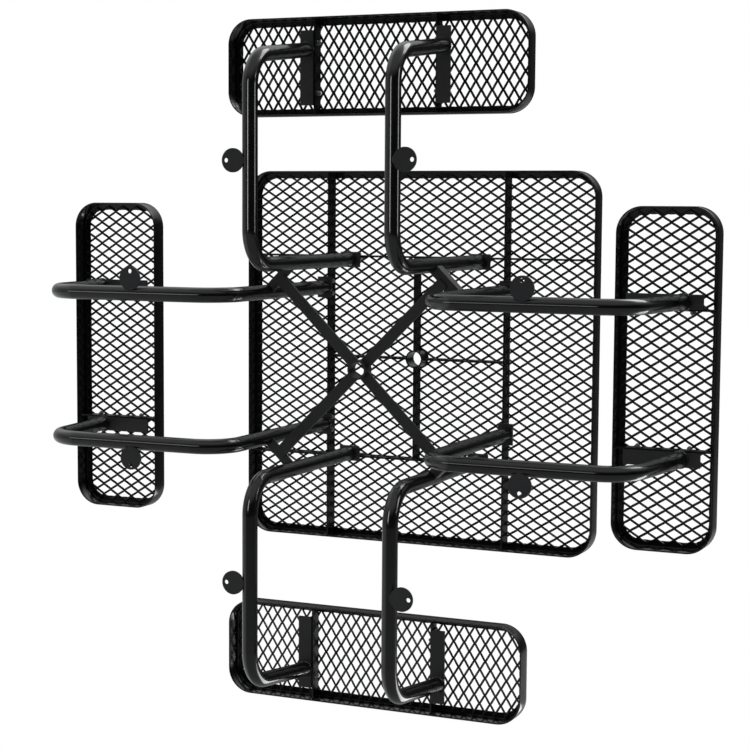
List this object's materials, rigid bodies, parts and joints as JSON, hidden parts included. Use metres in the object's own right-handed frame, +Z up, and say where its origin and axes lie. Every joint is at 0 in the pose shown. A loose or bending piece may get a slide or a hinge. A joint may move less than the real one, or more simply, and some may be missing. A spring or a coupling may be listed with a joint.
{
  "type": "picnic table",
  "caption": "Square outdoor picnic table with attached bench seats, expanded-metal top and seats with skirted rims, and a braced walk-through frame of bent steel tube.",
  "frame": {"origin": "on the ground under the middle of the table top", "axes": "+Z up; the seats lie out along +X, +Y, -X and -Y"},
  "size_m": [2.06, 2.06, 0.755],
  "materials": {
    "coated_rim": "glossy thermoplastic coating over flat steel",
    "coated_mesh": "glossy thermoplastic coating over expanded steel",
    "coated_tube": "gloss powder coat over steel tube",
    "coated_plate": "semi-gloss powder coat over steel plate",
    "fasteners": "black finished hex bolts and nuts"
  },
  "bodies": {
    "root": {"brace_arm_north_east": "coated_plate", "brace_arm_north_west": "coated_plate", "brace_arm_south_east": "coated_plate", "brace_arm_south_west": "coated_plate", "brace_collar": "coated_plate", "centre_bars": "coated_rim", "grid_bar_east": "coated_rim", "grid_bar_north": "coated_rim", "grid_bar_south": "coated_rim", "grid_bar_west": "coated_rim", "ground_tab_east_1": "coated_plate", "ground_tab_east_2": "coated_plate", "ground_tab_north_1": "coated_plate", "ground_tab_north_2": "coated_plate", "ground_tab_south_1": "coated_plate", "ground_tab_south_2": "coated_plate", "ground_tab_west_1": "coated_plate", "ground_tab_west_2": "coated_plate", "leg_east_1": "coated_tube", "leg_east_2": "coated_tube", "leg_north_1": "coated_tube", "leg_north_2": "coated_tube", "leg_south_1": "coated_tube", "leg_south_2": "coated_tube", "leg_strut_north_east": "coated_plate", "leg_strut_north_west": "coated_plate", "leg_strut_south_east": "coated_plate", "leg_strut_south_west": "coated_plate", "leg_west_1": "coated_tube", "leg_west_2": "coated_tube", "seat_bars_east": "coated_rim", "seat_bars_north": "coated_rim", "seat_bars_south": "coated_rim", "seat_bars_west": "coated_rim", "seat_bolts": "fasteners", "seat_bracket_east_1": "coated_plate", "seat_bracket_east_2": "coated_plate", "seat_bracket_north_1": "coated_plate", "seat_bracket_north_2": "coated_plate", "seat_bracket_south_1": "coated_plate", "seat_bracket_south_2": "coated_plate", "seat_bracket_west_1": "coated_plate", "seat_bracket_west_2": "coated_plate", "seat_mesh_east": "coated_mesh", "seat_mesh_north": "coated_mesh", "seat_mesh_south": "coated_mesh", "seat_mesh_west": "coated_mesh", "seat_rim_east": "coated_rim", "seat_rim_north": "coated_rim", "seat_rim_south": "coated_rim", "seat_rim_west": "coated_rim", "table_bolts": "fasteners", "table_brackets_east": "coated_plate", "table_brackets_north": "coated_plate", "table_brackets_south": "coated_plate", "table_brackets_west": "coated_plate", "table_mesh": "coated_mesh", "table_rim": "coated_rim", "umbrella_collar": "coated_rim"}
  },
  "joints": []
}
